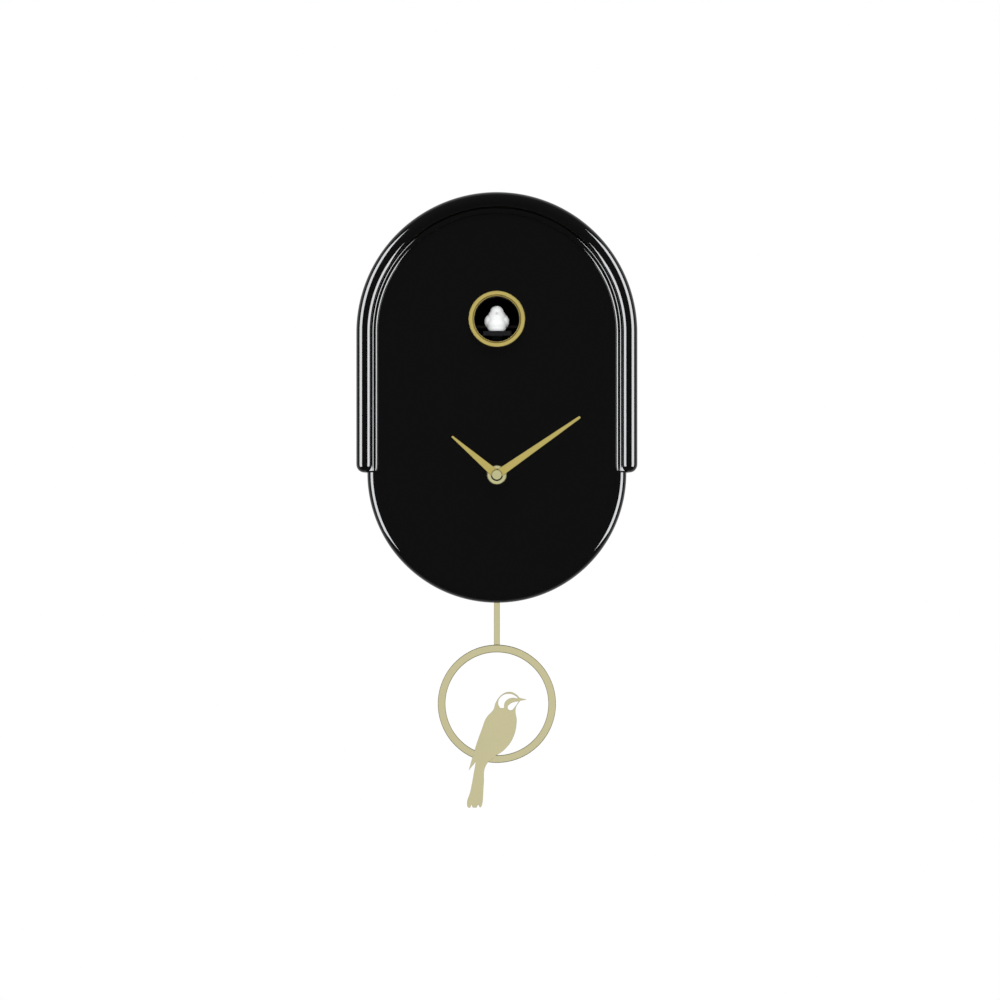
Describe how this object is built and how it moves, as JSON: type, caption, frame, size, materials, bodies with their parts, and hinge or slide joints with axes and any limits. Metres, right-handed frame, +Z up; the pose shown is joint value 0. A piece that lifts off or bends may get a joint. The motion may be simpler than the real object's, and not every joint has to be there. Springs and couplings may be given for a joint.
{
  "type": "pendulum wall clock",
  "caption": "Arched black wall clock with brass hands, a small bird that slides out of a round window, and a swinging brass ring pendulum with a bird silhouette.",
  "frame": {"origin": "on the wall plane, straight behind the hand shaft", "axes": "+Z up, -Y out of the dial towards the viewer, +X to the viewer's right"},
  "size_m": [0.205, 0.0816, 0.4512],
  "materials": {
    "black_lacquer": "piano-black high gloss lacquer",
    "black_plastic": "fine matt moulding",
    "board_green": "green solder mask on glass-fibre board",
    "cell_wrap": "printed metal can without lettering",
    "copper": "enamelled copper winding on a bobbin",
    "gear_plastic": "natural acetal",
    "grey_plastic": "natural matt moulding",
    "magnet": "dark sintered ferrite",
    "paper": "black paper cone",
    "polished_brass": "pale polished brass plate",
    "rubber": "soft black rubber",
    "satin_brass": "satin brushed brass",
    "steel": "bright zinc-plated steel",
    "white_plastic": "smooth matt white"
  },
  "bodies": {
    "case": {"front_shell": "black_lacquer", "hood": "black_lacquer", "window_ring": "polished_brass", "window_tunnel": "black_plastic", "back_cover": "black_plastic", "cover_screw_1": "steel", "cover_screw_2": "steel", "cover_screw_3": "steel", "cover_screw_4": "steel", "movement_front_case": "black_plastic", "movement_rear_case": "black_plastic", "train_plate": "steel", "train_bridge": "steel", "circuit_board": "board_green", "quartz_crystal": "steel", "motor_coil": "copper", "stator": "steel", "clock_cell": "cell_wrap", "cell_contact_plus": "steel", "cell_contact_minus": "steel", "rubber_washer": "rubber", "fixing_nut": "satin_brass", "pendulum_bracket": "grey_plastic", "pivot_pin": "steel", "swing_coil": "copper", "gear_axle": "steel", "cuckoo_motor": "steel", "cuckoo_frame": "grey_plastic", "speaker_basket": "steel", "speaker_cone": "paper", "sound_board": "board_green", "battery_box": "black_plastic", "battery_1": "cell_wrap", "battery_2": "cell_wrap", "battery_bridge": "steel", "battery_terminal": "steel"},
    "movement_door": {"movement_door": "black_plastic"},
    "battery_door": {"battery_door": "black_plastic"},
    "centre_wheel": {"centre_wheel": "satin_brass"},
    "third_wheel": {"third_wheel": "gear_plastic"},
    "seconds_wheel": {"seconds_wheel": "gear_plastic"},
    "intermediate_wheel": {"intermediate_wheel": "gear_plastic"},
    "rotor": {"rotor": "magnet"},
    "minute_hand": {"minute_arbor": "steel", "minute_hand": "satin_brass", "cap_nut": "satin_brass"},
    "reduction_wheel": {"reduction_wheel": "gear_plastic"},
    "hour_hand": {"hour_wheel": "gear_plastic", "hour_hand": "satin_brass"},
    "setting_knob": {"setting_knob": "black_plastic"},
    "pendulum": {"swing_arm": "grey_plastic", "swing_magnet": "magnet", "pendulum_rod": "polished_brass", "pendulum_ring": "polished_brass"},
    "bird": {"bird_carriage": "black_plastic", "cuckoo_bird": "white_plastic"},
    "drive_gear": {"drive_gear": "gear_plastic"},
    "motor_pinion": {"motor_pinion": "satin_brass"},
    "volume_slider": {"volume_slider": "grey_plastic"}
  },
  "joints": [
    {"name": "minute_turn", "type": "hinge", "parent": "case", "child": "minute_hand", "pos_m": [0, -0.0782, 0], "axis": [0, 1, 0], "continuous": true},
    {"name": "hour_turn", "type": "hinge", "parent": "case", "child": "hour_hand", "pos_m": [0, -0.0764, 0], "axis": [0, 1, 0], "continuous": true},
    {"name": "reduction_turn", "type": "hinge", "parent": "case", "child": "reduction_wheel", "pos_m": [0, -0.064, -0.0096], "axis": [0, 1, 0], "continuous": true},
    {"name": "setting_turn", "type": "hinge", "parent": "case", "child": "setting_knob", "pos_m": [0, -0.0495, -0.01872], "axis": [0, 1, 0], "continuous": true},
    {"name": "seconds_turn", "type": "hinge", "parent": "case", "child": "seconds_wheel", "pos_m": [0.00035, -0.0576, 0.01237], "axis": [0, 1, 0], "continuous": true},
    {"name": "third_turn", "type": "hinge", "parent": "case", "child": "third_wheel", "pos_m": [0.00636, -0.0594, 0.00636], "axis": [0, 1, 0], "continuous": true},
    {"name": "centre_turn", "type": "hinge", "parent": "case", "child": "centre_wheel", "pos_m": [0, -0.061, 0], "axis": [0, 1, 0], "continuous": true},
    {"name": "intermediate_turn", "type": "hinge", "parent": "case", "child": "intermediate_wheel", "pos_m": [-0.00484, -0.056, 0.01537], "axis": [0, 1, 0], "continuous": true},
    {"name": "rotor_turn", "type": "hinge", "parent": "case", "child": "rotor", "pos_m": [-0.01009, -0.059, 0.01537], "axis": [0, 1, 0], "continuous": true},
    {"name": "pendulum_swing", "type": "hinge", "parent": "case", "child": "pendulum", "pos_m": [0, -0.045, -0.06], "axis": [0, 1, 0], "range_deg": [-5, 5]},
    {"name": "bird_slide", "type": "slide", "parent": "case", "child": "bird", "axis": [0, -1, 0], "range_m": [0, 0.028]},
    {"name": "drive_turn", "type": "hinge", "parent": "case", "child": "drive_gear", "pos_m": [0, -0.042, 0.0941], "axis": [1, 0, 0], "range_deg": [0, 269.38]},
    {"name": "motor_turn", "type": "hinge", "parent": "case", "child": "motor_pinion", "pos_m": [0, -0.0268, 0.0941], "axis": [1, 0, 0], "range_deg": [-1007.68, 0]},
    {"name": "movement_door_lift", "type": "slide", "parent": "case", "child": "movement_door", "axis": [0, 1, 0], "range_m": [0, 0.02]},
    {"name": "battery_door_lift", "type": "slide", "parent": "case", "child": "battery_door", "axis": [0, 1, 0], "range_m": [0, 0.02]},
    {"name": "volume_slide", "type": "slide", "parent": "case", "child": "volume_slider", "axis": [1, 0, 0], "range_m": [-0.004, 0.004]}
  ],
  "couplings": [
    {"joint": "reduction_turn", "follows": "minute_turn", "ratio": -0.33333},
    {"joint": "hour_turn", "follows": "minute_turn", "ratio": 0.083333},
    {"joint": "setting_turn", "follows": "minute_turn", "ratio": 1.25},
    {"joint": "third_turn", "follows": "seconds_turn", "ratio": -0.13333},
    {"joint": "centre_turn", "follows": "seconds_turn", "ratio": 0.016667},
    {"joint": "intermediate_turn", "follows": "seconds_turn", "ratio": -5},
    {"joint": "rotor_turn", "follows": "seconds_turn", "ratio": 30},
    {"joint": "drive_turn", "follows": "bird_slide", "rad_per_m": 166.67},
    {"joint": "motor_turn", "follows": "bird_slide", "rad_per_m": -625}
  ]
}
